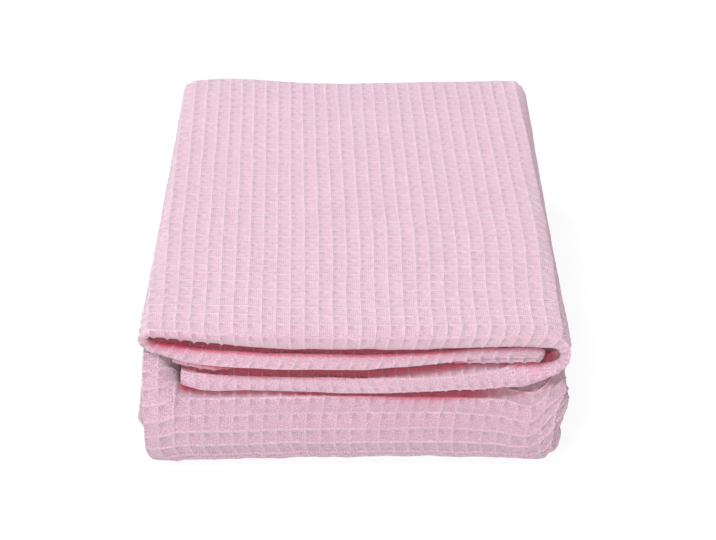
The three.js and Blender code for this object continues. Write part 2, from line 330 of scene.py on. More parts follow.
def place_along(run, share, panel, x, radius):
    """y of a share of a run along the cloth, where radius is that of the front roll."""
    start, _, fold = run
    roll_line = roll_front(panel, x) + CLOTH_THICKNESS / 2 + radius
    back_line = BACK_LINE + soft_value(BACK_EDGE, x)
    nose_line = NOSE_LINE + soft_value(NOSE_EDGE, x)
    swing = np.clip(np.sin(np.pi * share), 0, 1)
    if fold == "roll":
        return roll_line - radius * swing
    if fold == "back":
        return back_line + BACK_FOLD[panel] * swing ** (2 / BACK_SQUARENESS)
    if fold == "nose":
        return nose_line - NOSE_DEPTH * NOSE_SHARE[panel] * swing
    ends = {
        "flap": (FLAP_HEM, roll_line),
        "top": (roll_line, back_line),
        "middle": (back_line, nose_line),
        "bottom": (nose_line, BOTTOM_HEM),
    }
    return mix(*ends[start], share)


def inward_pull(x, y, z):
    """The pull of the nose on the right, and the rounding of the low front corner on the left."""
    right = smooth_share(x, NOSE_PULL["start"], STACK_HALF_WIDTH)
    left = 1 - smooth_share(x, -STACK_HALF_WIDTH, CORNER["start"])
    drop = np.clip(1 - z / CORNER["radius"], 0, 1)
    rounding = 1 - np.sqrt(1 - drop * drop)
    rounding = rounding * (1 - smooth_share(y, CORNER["front"], CORNER["back"]))
    nose = 1 - smooth_share(y, NOSE_PULL["front"], NOSE_PULL["back"])
    return CORNER["amount"] * left * rounding - NOSE_PULL["amount"] * right * nose


def run_point(across_run, along_run, across_share, along_share):
    """Points in the middle of the cloth in one pair of runs."""
    across_turn = turned(across_run[2], across_share)
    along_turn = turned(along_run[2], along_share)
    x = mix(
        place_across(across_run, across_share, along_run[0]),
        place_across(across_run, across_share, along_run[1]),
        along_turn,
    )
    radius = roll_radius(across_run, across_share)
    y = mix(
        place_along(along_run, along_share, across_run[0], x, radius),
        place_along(along_run, along_share, across_run[1], x, radius),
        across_turn,
    )
    rows = []
    for sheet in along_run[:2]:
        heights = [layer_height(SHEETS[sheet][panel], x, y) for panel in across_run[:2]]
        rows.append(mix(*heights, across_turn))
    if along_run[2] == "nose":
        along_turn = 1 - (1 - along_turn) ** (soft_value(LOWER_TOP, x) / LOWER_HEIGHT)
    z = mix(*rows, along_turn)
    return np.stack((x + inward_pull(x, y, z), y, z), axis=-1)


def cloth_point(across, along):
    """Points in the middle of the cloth, where across and along count its runs."""
    across, along = np.broadcast_arrays(np.asarray(across, float), np.asarray(along, float))
    points = np.zeros(across.shape + (3,))
    across_index = np.clip(np.floor(across), 0, RUNS - 1).astype(int)
    along_index = np.clip(np.floor(along), 0, RUNS - 1).astype(int)
    for i, across_run in enumerate(ACROSS):
        for j, along_run in enumerate(ALONG):
            here = (across_index == i) & (along_index == j)
            if here.any():
                points[here] = run_point(across_run, along_run, across[here] - i, along[here] - j)
    return points


NORMAL_STEP = 0.02


def cloth_normal(across, along):
    """The direction that the outer face of the cloth looks in."""
    step = NORMAL_STEP
    side = cloth_point(np.minimum(RUNS, across + step), along)
    side -= cloth_point(np.maximum(0, across - step), along)
    forward = cloth_point(across, np.minimum(RUNS, along + step))
    forward -= cloth_point(across, np.maximum(0, along - step))
    normal = np.cross(side, forward)
    return normal / np.linalg.norm(normal, axis=-1, keepdims=True)


def table_places():
    """Places along all runs, close together where a fold starts, turns and ends."""
    half = (1 - np.cos(np.pi * np.arange(HALF_RUN_STEPS + 1) / HALF_RUN_STEPS)) / 4
    bend = np.concatenate((half, 0.5 + half[1:]))
    places = [run + bend[:-1] for run in range(RUNS)]
    return np.concatenate(places + [[RUNS]])


def way_across(points, places):
    """Way to each point of a row. In the level runs only its sideways part counts."""
    steps = np.diff(points, axis=0)
    level = np.floor((places[1:] + places[:-1]) / 2) % 2 == 0
    lengths = np.where(level, np.abs(steps[:, 0]), np.linalg.norm(steps, axis=-1))
    return np.concatenate(([0], np.cumsum(lengths)))


def way_along(points, places):
    """Length of the way to each point of a column."""
    steps = np.linalg.norm(np.diff(points, axis=0), axis=-1)
    return np.concatenate(([0], np.cumsum(steps)))


def anchor_counts(anchors, lines, way_of, places, pitch):
    """Squares up to each anchor, where lines has the row or column measured in each part."""
    counts = [0.0]
    for start, end, line in zip(anchors, anchors[1:], lines):
        way = way_of(line, places)
        length = np.interp(end, places, way) - np.interp(start, places, way)
        counts.append(counts[-1] + length / pitch)
    total = round(counts[-1])
    return np.array(counts) * total / counts[-1], total


def places_in_row(cells, points, places, counts):
    """Places of squares of the weave on a row of points, evenly spaced between the anchors."""
    way = way_across(points, places)
    squares = np.interp(way, np.interp(ANCHORS_ACROSS, places, way), counts)
    return np.interp(cells, squares, places)


def places_in_column(cells, points, places, counts, pitch):
    """Places of squares in a column, with squares of full length on the nose."""
    way = way_along(points, places)
    anchors = np.interp(ANCHORS_ALONG, places, way)
    foot = NOSE_ANCHOR
    anchors = np.insert(anchors, foot, anchors[foot] - NOSE_SQUARES * pitch)
    counts = np.insert(counts, foot, counts[foot] - NOSE_SQUARES)
    squares = np.interp(way, anchors, counts)
    return np.interp(cells, squares, places)


def line_cells(total):
    """Numbers of squares at each line of points."""
    lines = [cell + share for cell in range(total) for share in POINT_SHARES]
    return np.array(lines + [total])


def uneven_wave(own, other, rates):
    """A wave over two directions, quick along its own, from -1 to 1."""
    quick, sway, slow, drift = rates
    swaying = np.sin(own * quick + np.sin(other * sway) * WAVE_SWAY)
    return swaying * np.sin(other * slow + own * drift)


class Weave:
    """The lines of points across and along the cloth, and where they lie."""

    def __init__(self, cell_width, cell_length):
        places = table_places()
        rows = [cloth_point(places, along)
                for along in (MIDDLE_SHEET, MIDDLE_SHEET, TOP_SHEET, NOSE)]
        columns = [cloth_point(across, places)
                   for across in (FIRST_PANEL, FIRST_PANEL, FIRST_PANEL, LAST_PANEL)]
        self.cell_length = cell_length
        self.across_counts, self.across_total = anchor_counts(
            ANCHORS_ACROSS, rows, way_across, places, cell_width)
        self.along_counts, self.along_total = anchor_counts(
            ANCHORS_ALONG, columns, way_along, places, cell_length)
        self.u = line_cells(self.across_total)
        self.v = line_cells(self.along_total)
        self.across_nominal = places_in_row(self.u, rows[2], places, self.across_counts)
        first_places, last_places = (
            places_in_column(self.v, column, places, self.along_counts, cell_length)
            for column in columns[2:])
        self.along_nominal = np.where(self.v < self.along_counts[2], first_places, last_places)
        self.across, self.along = self.uneven_places(places)

    def lean(self):
        """How far the squares on the top lean, in squares across."""
        u, v = self.u, self.v
        roll, back = self.along_counts[1], self.along_counts[2]
        left, right = self.across_counts[2], self.across_counts[3]
        near, far = LEAN_FADES["side"]
        amount = LEAN * (np.clip((v - roll) / (back - roll), 0, 1) - 0.5)
        amount *= smooth_share(v, roll - LEAN_FADES["roll"], roll)
        amount *= 1 - smooth_share(v, back, back + LEAN_FADES["back"])
        here = smooth_share(u, left - far, left - near)
        here *= 1 - smooth_share(u, right + near, right + far)
        return here[:, None] * amount[None, :]

    def bow(self):
        """How far the rows on the top bow, in squares along."""
        roll, back = self.along_counts[1], self.along_counts[2]
        left, right = self.across_counts[2], self.across_counts[3]
        near, far = BOW_FADES["back"]
        middle = (self.u - (left + right) / 2) / (right - left) * 2
        amount = BOW * np.clip(1 - middle**2, 0, 1)
        here = smooth_share(self.v, roll, roll + BOW_FADES["roll"])
        here *= 1 - smooth_share(self.v, back - far, back - near)
        return amount[:, None] * here[None, :]

    def uneven_places(self, places):
        """Places of all points, with the waves, the lean and the bow of their lines."""
        u, v = self.u, self.v
        grid_u, grid_v = np.meshgrid(u, v, indexing="ij")
        edge_u = np.clip(np.minimum(u, self.across_total - u) / HEM_EVEN, 0, 1)[:, None]
        edge_v = np.clip(np.minimum(v, self.along_total - v) / HEM_EVEN, 0, 1)[None, :]
        shift_u = WOBBLE * uneven_wave(grid_u, grid_v, WAVE_ACROSS) * edge_u - self.lean()
        shift_v = WOBBLE * uneven_wave(grid_v, grid_u, WAVE_ALONG) * edge_v + self.bow()
        across = np.empty(grid_u.shape)
        along = np.empty(grid_u.shape)
        for j, place in enumerate(self.along_nominal):
            row = cloth_point(places, place)
            across[:, j] = places_in_row(u + shift_u[:, j], row, places, self.across_counts)
        for i, place in enumerate(self.across_nominal):
            column = cloth_point(place, places)
            along[i] = places_in_column(
                v + shift_v[i], column, places, self.along_counts, self.cell_length)
        return across, along


def hidden_lines(runs, nominal, level_shares, fold_step):
    """Numbers of the lines that the hidden parts of the cloth have."""
    chosen = {0, len(nominal) - 1}
    for index, run in enumerate(runs):
        if run[2]:
            inside = np.nonzero((nominal >= index) & (nominal <= index + 1))[0]
            step = fold_step[run[2]]
            chosen.update(inside[::step].tolist())
            chosen.update((int(inside[0]), int(inside[-1])))
        else:
            for share in level_shares(run[0]):
                chosen.add(int(np.argmin(np.abs(nominal - (index + share)))))
    return sorted(chosen)


def across_shares(panel):
    if panel in ("tuck", "first"):
        return SHARES_FROM_LEFT
    return [1 - share for share in SHARES_FROM_LEFT]


def along_shares(sheet):
    if sheet in ("top", "bottom"):
        return SHARES_FROM_FRONT
    return [1 - share for share in SHARES_FROM_FRONT]


ACROSS_FOLD_STEPS = {"tuckToSecond": 1, "secondToFirst": 2, "firstToLast": 2}
ALONG_FOLD_STEPS = {"roll": 1, "back": 3, "nose": 3}

# Parts of the outer face that can be seen, as runs across and along. The squares of the
# weave are modelled there.
SEEN = (
    ((2.93, 6.07), (0.96, 4.02)),
    ((0, 7), (0.97, 2.05)),
    ((4.98, 7), (4.8, 6.05)),
    ((4.98, 6.02), (3.9, 7)),
    ((2.98, 4.02), (3.9, 7)),
)


def seen(across, along):
    for (left, right), (start, end) in SEEN:
        if left <= across <= right and start <= along <= end:
            return True
    return False


class ClothMesh:
    """A closed mesh of the cloth, fine where it can be seen and plain where it is hidden."""

    def __init__(self, weave):
        self.weave = weave
        self.columns = hidden_lines(ACROSS, weave.across_nominal, across_shares, ACROSS_FOLD_STEPS)
        self.rows = hidden_lines(ALONG, weave.along_nominal, along_shares, ALONG_FOLD_STEPS)
        self.numbers = {}
        self.points = []
        self.faces = []
        self.fine = np.zeros((2, len(self.columns) - 1, len(self.rows) - 1), bool)
        for a in range(len(self.columns) - 1):
            across = weave.across_nominal[[self.columns[a], self.columns[a + 1]]].mean()
            for b in range(len(self.rows) - 1):
                along = weave.along_nominal[[self.rows[b], self.rows[b + 1]]].mean()
                self.fine[0, a, b] = seen(across, along)
        for face in (0, 1):
            for a in range(len(self.columns) - 1):
                for b in range(len(self.rows) - 1):
                    self.add_patch(face, a, b)
        self.add_hems()

    def point(self, face, i, j):
        key = (face, i, j)
        if key not in self.numbers:
            self.numbers[key] = len(self.points)
            self.points.append(key)
        return self.numbers[key]

    def is_fine(self, face, a, b):
        inside = 0 <= a < self.fine.shape[1] and 0 <= b < self.fine.shape[2]
        return inside and self.fine[face, a, b]

    def column_edge(self, face, a, j, fine):
        """Points on a line along row j, over the patch column a."""
        start, end = self.columns[a], self.columns[a + 1]
        lines = range(start, end + 1) if fine else (start, end)
        return [self.point(face, i, j) for i in lines]

    def row_edge(self, face, i, b, fine):
        """Points on a line along column i, over the patch row b."""
        start, end = self.rows[b], self.rows[b + 1]
        lines = range(start, end + 1) if fine else (start, end)
        return [self.point(face, i, j) for j in lines]

    def add_patch(self, face, a, b):
        i0, i1 = self.columns[a], self.columns[a + 1]
        j0, j1 = self.rows[b], self.rows[b + 1]
        loops = []
        if self.fine[face, a, b]:
            for i in range(i0, i1):
                for j in range(j0, j1):
                    corners = ((i, j), (i + 1, j), (i + 1, j + 1), (i, j + 1))
                    loops.append([self.point(face, *corner) for corner in corners])
        else:
            near = self.column_edge(face, a, j0, self.is_fine(face, a, b - 1))
            right = self.row_edge(face, i1, b, self.is_fine(face, a + 1, b))
            far = self.column_edge(face, a, j1, self.is_fine(face, a, b + 1))
            left = self.row_edge(face, i0, b, self.is_fine(face, a - 1, b))
            loops.append(near[:-1] + right[:-1] + far[:0:-1] + left[:0:-1])
        for loop in loops:
            self.faces.append(loop if face == 0 else loop[::-1])

    def add_hems(self):
        last_row, last_column = self.rows[-1], self.columns[-1]
        for a in range(len(self.columns) - 1):
            for b, j, outer_first in ((0, 0, False), (len(self.rows) - 2, last_row, True)):
                edges = [self.column_edge(face, a, j, self.fine[face, a, b]) for face in (0, 1)]
                first, second = edges if outer_first else edges[::-1]
                self.faces.append(first + second[::-1])
        for b in range(len(self.rows) - 1):
            for a, i, outer_first in ((0, 0, True), (len(self.columns) - 2, last_column, False)):
                edges = [self.row_edge(face, i, b, self.fine[face, a, b]) for face in (0, 1)]
                first, second = edges if outer_first else edges[::-1]
                self.faces.append(first + second[::-1])

    def places(self):
        """Values of the points by name, with the positions in millimetres."""
        weave = self.weave
        face, i, j = np.array(self.points).T
        across = weave.across[i, j]
        along = weave.along[i, j]
        normal = cloth_normal(across, along)
        outward = normal * np.where(face == 0, 1, -1)[:, None]
        position = cloth_point(across, along) + outward * CLOTH_THICKNESS / 2
        position -= normal * crease_depth(position)[:, None]
        position[:, 2] *= fullness(position[:, 0], position[:, 1])
        position[:, 2] = np.where(position[:, 2] < FLOOR_SNAP, 0, position[:, 2])
        position[:, 0] += STACK_SHIFT[0]
        position[:, 1] += STACK_SHIFT[1]
        x, y, z = position.T
        front = 1 - smooth_share(y, *FRONT_PARTS)
        nose_gain = NOSE_TOP_GAIN + NOSE_LOW_GAIN * np.clip(1 - z / LOWER_HEIGHT, 0, 1)
        return {
            "position": position,
            "outward": outward,
            "squares": np.stack((weave.u[i], weave.v[j], 0 * across), axis=-1),
            "relief": self.relief_weights()[i, j] * (face == 0) * smooth_share(z, *FLOOR_FADE),
            # Deeper squares on the front rolls and the nose, which also take more painted shade,
            # most at the foot of the nose
            "depth": 1 + front * np.where(along > BACK_TURN, nose_gain, ROLL_DEPTH_GAIN),
            "gap": self.gap_shade(x, y, across, along),
            "shaded side": self.shaded_sides(across, along),
        }

    def shaded_sides(self, across, along):
        """Side of each square that lies in shade. The second and last panels lie turned over."""
        inner, upper, lower = SIDE_TURNS
        turned_over = within(across, inner, upper) | (across > lower)
        sides = (np.where(turned_over, -1, 1), np.where(along < BACK_TURN, -1, 1), 0 * across)
        return np.stack(sides, axis=-1)

    def relief_weights(self):
        """1 where a point has fine patches all round, and 0 elsewhere and near a hem."""
        columns, rows = len(self.weave.u), len(self.weave.v)
        fine = np.zeros((columns - 1, rows - 1), bool)
        for a in range(len(self.columns) - 1):
            for b in range(len(self.rows) - 1):
                if self.fine[0, a, b]:
                    fine[self.columns[a]:self.columns[a + 1], self.rows[b]:self.rows[b + 1]] = True
        around = np.zeros((columns, rows), bool)
        around[1:-1, 1:-1] = fine[1:, 1:] & fine[:-1, 1:] & fine[1:, :-1] & fine[:-1, :-1]
        u = self.weave.u
        hem = smooth_share(np.minimum(u, self.weave.across_total - u), *HEM_FADE)
        return around * hem[:, None]

    def gap_shade(self, x, y, across, along):
        """How much painted shade a point takes in a gap between two front folds, from 0 to 1, more
        the deeper it lies.
        """
        outside = within(across, *OUTSIDE_ACROSS) & within(along, *OUTSIDE_ALONG)
        edge = ROLL_GAP["front"] + ROLL_GAP["shift"] * smooth_share(x, *ROLL_GAP["right"])
        rolled = smooth_share(y, edge, edge + ROLL_GAP["width"]) * (along < ROLL_GAP["end"])
        low = smooth_share(y, NOSE_GAP["front"], NOSE_GAP["back"])
        low *= within(along, *NOSE_GAP["runs"])
        low *= smooth_share(x, *NOSE_GAP["left"])
        low *= 1 - NOSE_GAP["paler"] * smooth_share(x, *NOSE_GAP["right"])
        side = 1 - smooth_share(np.abs(x), *GAP_SIDE)
        front = 1 - smooth_share(y, *GAP_BACK)
        return np.where(outside, 0, (np.maximum(rolled, low) * side * front) ** GAP_POWER)


class Wire:
    """A value in a node tree. Sums on it add Math nodes."""

    def __init__(self, maker, socket):
        self.maker = maker
        self.socket = socket

    def maths(self, operation, *values):
        node = self.maker.add("ShaderNodeMath", {"operation": operation}, dict(enumerate(values)))
        return Wire(self.maker, node.outputs[0])

    def __add__(self, other):
        return self.maths("ADD", self, other)

    def __sub__(self, other):
        return self.maths("SUBTRACT", self, other)

    def __mul__(self, other):
        return self.maths("MULTIPLY", self, other)

    def __truediv__(self, other):
        return self.maths("DIVIDE", self, other)

    def __rsub__(self, other):
        return self.maths("SUBTRACT", other, self)

    __radd__ = __add__
    __rmul__ = __mul__

    def larger(self, other):
        return self.maths("MAXIMUM", self, other)

    def sine(self):
        return self.maths("SINE", self)

    def to_ridge(self):
        """Distance to the nearest whole number."""
        return self.maths("ABSOLUTE", self.maths("FRACT", self + 0.5) - 0.5)

    def part(self):
        """What is over the whole number below."""
        return self.maths("FRACT", self)

    def fade(self, low, high, at_low=0.0, at_high=1.0):
        """Turns smoothly from at_low to at_high, between low and high."""
        values = {"Value": self, "From Min": low, "From Max": high, "To Min": at_low,
                  "To Max": at_high}
        settings = {"interpolation_type": "SMOOTHSTEP"}
        return Wire(self.maker, self.maker.add("ShaderNodeMapRange", settings, values).outputs[0])


class NodeMaker:
    """Adds nodes to one tree."""

    def __init__(self, tree):
        self.tree = tree
        tree.nodes.clear()

    def add(self, kind, settings=None, values=None):
        node = self.tree.nodes.new(kind)
        for name, value in (settings or {}).items():
            setattr(node, name, value)
        for name, value in (values or {}).items():
            socket = node.inputs[name]
            if isinstance(value, Wire):
                self.tree.links.new(value.socket, socket)
            else:
                socket.default_value = value
        return node

    def wire(self, node, output=0):
        return Wire(self, node.outputs[output])

    def vector_maths(self, operation, values):
        node = self.add("ShaderNodeVectorMath", {"operation": operation}, values)
        return self.wire(node)

    def split(self, vector):
        node = self.add("ShaderNodeSeparateXYZ", values={0: vector})
        return self.wire(node, 0), self.wire(node, 1)


# Height of the ridges along the cloth as a share of those across it, and the scale of the
# noise that makes them uneven
UPRIGHT_RIDGE = 0.88
UNEVEN_SCALE = 0.45


def waffle_ridges(u, v, width):
    """Height of the weave's grid of ridges, from 0 in a square to 1 on a ridge."""
    along_ridge = u.to_ridge().fade(0.0, width, UPRIGHT_RIDGE, 0.0)
    across_ridge = v.to_ridge().fade(0.0, width, 1.0, 0.0)
    return along_ridge.larger(across_ridge)


def waffle_tree():
    """Geometry nodes that raise the ridges of the weave and sink its squares."""
    tree = bpy.data.node_groups.new("waffle ridges", "GeometryNodeTree")
    maker = NodeMaker(tree)
    sockets = (
        ("Cloth", "NodeSocketGeometry"),
        ("Ridge Height", "NodeSocketFloat"),
        ("Pit Depth", "NodeSocketFloat"),
        ("Ridge Width", "NodeSocketFloat"),
        ("Unevenness", "NodeSocketFloat"),
        ("Seed", "NodeSocketInt"),
        ("Material", "NodeSocketMaterial"),
    )
    for name, kind in sockets:
        tree.interface.new_socket(name, in_out="INPUT", socket_type=kind)
    tree.interface.new_socket("Cloth", in_out="OUTPUT", socket_type="NodeSocketGeometry")
    start = maker.add("NodeGroupInput")
    given = {name: Wire(maker, start.outputs[name]) for name, _ in sockets}

    def attribute(name, kind):
        node = maker.add("GeometryNodeInputNamedAttribute", {"data_type": kind}, {"Name": name})
        return maker.wire(node)

    place = attribute("squares", "FLOAT_VECTOR")
    u, v = maker.split(place)
    noise = maker.add(
        "ShaderNodeTexNoise",
        {"noise_dimensions": "4D"},
        {"Vector": place, "W": given["Seed"], "Scale": UNEVEN_SCALE, "Detail": 2.0},
    )
    uneven = 1.0 + given["Unevenness"] * (maker.wire(noise) - 0.5) * 2.0
    ridges = waffle_ridges(u, v, given["Ridge Width"])
    lift = ridges * (given["Ridge Height"] + given["Pit Depth"]) * uneven - given["Pit Depth"]
    lift = lift * attribute("relief", "FLOAT") * attribute("depth", "FLOAT")
    outward = attribute("outward", "FLOAT_VECTOR")
    offset = maker.add("ShaderNodeVectorMath", {"operation": "SCALE"},
                       {"Vector": outward, "Scale": lift})
    moved = maker.add("GeometryNodeSetPosition",
                      values={"Geometry": given["Cloth"], "Offset": maker.wire(offset)})
    real = maker.add("GeometryNodeRealizeInstances", values={"Geometry": maker.wire(moved)})
    painted = maker.add("GeometryNodeSetMaterial",
                        values={"Geometry": maker.wire(real), "Material": given["Material"]})
    maker.add("NodeGroupOutput", values={0: maker.wire(painted)})
    return tree


# Threads in a square each way, and slanting strokes across it and along it
THREADS_A_CELL = 7.0
SLANT_RATES = (5.0, 4.0)

# Scale and detail of the noises over the squares
NOISES = {"wander": (1.3, 1.0), "fuzz": (11.0, 3.0), "lumps": (2.2, 2.0), "drift": (0.35, 2.0)}

# Shares of a square over which the dark spot in its shaded corner starts and ends, and the
# fade that keeps the spot away from where the shaded side changes
SPOT_START, SPOT_END, SPOT_SURE = (0.03, 0.14), (0.2, 0.5), (0.9, 1.0)

# Heights of the fine surface, in metres
THREAD_HEIGHT, SLANT_HEIGHT, FUZZ_HEIGHT, LUMP_HEIGHT = 0.00012, 0.0001, 0.0016, 0.0008
THIN_RIDGE_HEIGHT, SPOT_DEPTH, PLAIN_RIDGE_HEIGHT = 0.0004, 0.0004, 0.0009

# Half width of the fine ridges, and how far they wander, in squares
THIN_RIDGE, RIDGE_WANDER = 0.13, 0.06

# How much each part adds of the darker colour: painted shade in the squares and in their shaded
# corners, and a darker random tone from the drift, fuzz, lumps and threads
BASE_SHADE, SQUARE_SHADE, SPOT_SHADE, DRIFT_SHADE = 0.1, 0.34, 0.7, 0.3
FUZZ_SHADE, LUMP_SHADE, THREAD_SHADE = 4.4, 0.8, 0.12

# Share of the squares' painted shade colour that the painted shade on the nose and the front
# rolls reaches, and how fast it comes on with the depth of their squares
FRONT_SHADE_SHARE, FRONT_SHADE_RATE = 0.5, 0.22


def shaded_corner(u, v, side_u, side_v):
    """How much of each place is the dark spot in the shaded corner of its square."""
    spot = (side_u * side_u * side_v * side_v).fade(*SPOT_SURE)
    for count in (u * side_u, v * side_v):
        spot = spot * count.part().fade(*SPOT_START) * count.part().fade(*SPOT_END, 1.0, 0.0)
    return spot


def cotton_material(sizes):
    """Pink cotton with fine threads, with painted shade inside the squares and in the gaps between
    the folds.
    """
    material = bpy.data.materials.new("waffle_cotton")
    material.use_nodes = True
    maker = NodeMaker(material.node_tree)
    place = maker.wire(maker.add("ShaderNodeUVMap", {"uv_map": "cloth"}))
    u, v = maker.split(place)
    u = u / sizes.cell_width
    v = v / sizes.cell_length

    def attribute(name, output="Fac"):
        node = maker.add("ShaderNodeAttribute", {"attribute_name": name})
        return Wire(maker, node.outputs[output])

    relief = attribute("relief")
    depth = attribute("depth")
    gap = attribute("gap")
    side_u, side_v = maker.split(attribute("shaded side", "Vector"))
    ridges = waffle_ridges(u, v, sizes.ridge_width)
    squares = maker.vector_maths("MULTIPLY", {0: place, 1: (1 / sizes.cell_width,) * 3})

    def noise(name):
        scale, detail = NOISES[name]
        node = maker.add("ShaderNodeTexNoise", values={"Vector": squares, "Scale": scale,
                                                       "Detail": detail})
        return maker.wire(node)

    turn = 2 * math.pi
    wander = noise("wander") * 2.0
    warp = (u * (turn * THREADS_A_CELL) + wander).sine()
    weft = (v * (turn * THREADS_A_CELL) + wander).sine()
    slant = (u * (turn * SLANT_RATES[0]) - v * (turn * SLANT_RATES[1]) + wander).sine()
    fuzz = noise("fuzz") - 0.5
    lumps = noise("lumps") - 0.5
    drift = noise("drift") - 0.5
    stray = (wander - 1.0) * RIDGE_WANDER
    thin = waffle_ridges(u + stray, v - stray, THIN_RIDGE)
    spot = shaded_corner(u, v, side_u, side_v)
    height = (warp + weft) * THREAD_HEIGHT + slant * SLANT_HEIGHT
    height = height + fuzz * FUZZ_HEIGHT + lumps * LUMP_HEIGHT
    height = height + thin * THIN_RIDGE_HEIGHT - spot * SPOT_DEPTH
    height = height + ridges * (1.0 - relief) * PLAIN_RIDGE_HEIGHT
    bump = maker.add("ShaderNodeBump", values={"Strength": 1.0, "Distance": 1.0, "Height": height})
    # Painted shade in the squares and their shaded corners, deeper on the front parts, with a
    # darker random tone from the drift, fuzz, lumps and threads
    shade = BASE_SHADE + ((1.0 - thin) * SQUARE_SHADE + spot * SPOT_SHADE) * depth
    shade = shade + drift * DRIFT_SHADE + fuzz * FUZZ_SHADE + lumps * LUMP_SHADE
    shade = shade + (warp + weft + slant) * THREAD_SHADE

    def blend(first, second, factor):
        node = maker.add("ShaderNodeMix", {"data_type": "RGBA", "clamp_factor": True},
                         {"Factor": factor, "A": first, "B": second})
        return Wire(maker, node.outputs["Result"])

    colour = blend((*sizes.colour, 1), (*sizes.shade_and_tone_colour, 1), shade)
    # Painted shade on the nose and the front rolls, darkest at the foot of the nose
    front_shade_colour = [part * FRONT_SHADE_SHARE for part in sizes.shade_and_tone_colour]
    colour = blend(colour, (*front_shade_colour, 1), (depth - 1.0) * FRONT_SHADE_RATE)
    # Painted shade in the gaps between the front folds
    colour = blend(colour, (*sizes.gap_shade_colour, 1), gap)
    shader = maker.add(
        "ShaderNodeBsdfPrincipled",
        values={
            "Base Color": colour,
            "Roughness": 0.92 + fuzz * 0.1,
            "Normal": maker.wire(bump),
            "Specular IOR Level": 0.2,
            "Sheen Weight": 0.5,
            "Sheen Roughness": 0.5,
        },
    )
    maker.add("ShaderNodeOutputMaterial", values={"Surface": maker.wire(shader)})
    return material


def cloth_object(mesh_data, sizes):
    """The cloth before its weave is raised, with the attributes that the nodes read."""
    values = mesh_data.places()
    mesh = bpy.data.meshes.new("throw cloth")
    mesh.from_pydata((values.pop("position") / 1000).tolist(), [], mesh_data.faces)
    mesh.polygons.foreach_set("use_smooth", [True] * len(mesh.polygons))
    for name, rows in values.items():
        kind, key = ("FLOAT_VECTOR", "vector") if rows.ndim > 1 else ("FLOAT", "value")
        mesh.attributes.new(name, kind, "POINT").data.foreach_set(key, np.ravel(rows))
    corners = np.empty(len(mesh.loops), int)
    mesh.loops.foreach_get("vertex_index", corners)
    flat = values["squares"][:, :2] * (sizes.cell_width, sizes.cell_length)
    mesh.uv_layers.new(name="cloth").data.foreach_set("uv", flat[corners].ravel())
    mesh.update()
    cloth = bpy.data.objects.new("throw cloth", mesh)
    bpy.context.scene.collection.objects.link(cloth)
    return cloth


def settled(cloth, name):
    """A plain mesh object of what the cloth's modifiers make."""
    evaluated = cloth.evaluated_get(bpy.context.evaluated_depsgraph_get())
    mesh = bpy.data.meshes.new_from_object(evaluated)
    for attribute in ("outward", "squares"):
        mesh.attributes.remove(mesh.attributes[attribute])
    result = bpy.data.objects.new(name, mesh)
    mesh.name = name
    bpy.context.scene.collection.objects.link(result)
    old = cloth.data
    bpy.data.objects.remove(cloth)
    bpy.data.meshes.remove(old)
    return result


def open_edges(mesh):
    check = bmesh.new()
    check.from_mesh(mesh)
    count = sum(1 for edge in check.edges if len(edge.link_faces) != 2)
    check.free()
    return count


class ThrowSizes(bpy.types.PropertyGroup):
    cell_width: bpy.props.FloatProperty(
        name="Square width", description="Width of a square of the weave",
        default=0.0112, min=0.004, max=0.03, subtype="DISTANCE", unit="LENGTH")
    cell_length: bpy.props.FloatProperty(
        name="Square length", description="Length of a square of the weave",
        default=0.0114, min=0.004, max=0.03, subtype="DISTANCE", unit="LENGTH")
    ridge_height: bpy.props.FloatProperty(
        name="Ridge height", description="How far the ridges stand over the plain cloth",
        default=0.0006, min=0.0, max=0.002, subtype="DISTANCE", unit="LENGTH")
    pit_depth: bpy.props.FloatProperty(
        name="Pit depth", description="How far the squares sink into the plain cloth",
        default=0.0008, min=0.0, max=0.002, subtype="DISTANCE", unit="LENGTH")
    ridge_width: bpy.props.FloatProperty(
        name="Ridge width", description="Half width of a ridge, as a share of a square",
        default=0.21, min=0.1, max=0.5, subtype="FACTOR")
    unevenness: bpy.props.FloatProperty(
        name="Unevenness", description="How much the ridges differ in height",
        default=0.65, min=0.0, max=1.0, subtype="FACTOR")
    seed: bpy.props.IntProperty(
        name="Seed", description="Which uneven pattern the ridges have", default=3)
    colour: bpy.props.FloatVectorProperty(
        name="Cloth colour", description="Colour of the ridges", subtype="COLOR",
        size=3, min=0.0, max=1.0, default=(0.64, 0.435, 0.53))
    # Painted shade inside the squares, also used for the cotton's darker random tone
    shade_and_tone_colour: bpy.props.FloatVectorProperty(
        name="Square colour", description="Colour inside the squares", subtype="COLOR",
        size=3, min=0.0, max=1.0, default=(0.45, 0.28, 0.365))
    # Painted shade between the folds, in the deep red of light reflected between the pink layers
    gap_shade_colour: bpy.props.FloatVectorProperty(
        name="Gap colour", description="Colour deep between two folds", subtype="COLOR",
        size=3, min=0.0, max=1.0, default=(0.46, 0.014, 0.075))


class ThrowStage(bpy.types.PropertyGroup):
    floor_colour: bpy.props.FloatVectorProperty(
        name="Floor colour", description="Colour of the floor", subtype="COLOR",
        size=3, min=0.0, max=1.0, default=(0.12, 0.12, 0.12))
    floor_glow: bpy.props.FloatProperty(
        name="Floor glow", description="How much light the floor gives by itself",
        default=0.87, min=0.0, max=2.0)
    sky_strength: bpy.props.FloatProperty(
        name="Soft light", description="Strength of the even light all round",
        default=0.35, min=0.0, max=5.0)
    key_power: bpy.props.FloatProperty(
        name="Key light", description="Power of the light from the back left",
        default=45.0, min=0.0, max=1000.0, subtype="POWER", unit="POWER")
    fill_power: bpy.props.FloatProperty(
        name="Front light", description="Power of the wide light in front",
        default=77.0, min=0.0, max=1000.0, subtype="POWER", unit="POWER")
    top_power: bpy.props.FloatProperty(
        name="Top light", description="Power of the light above the front edge",
        default=30.0, min=0.0, max=1000.0, subtype="POWER", unit="POWER")


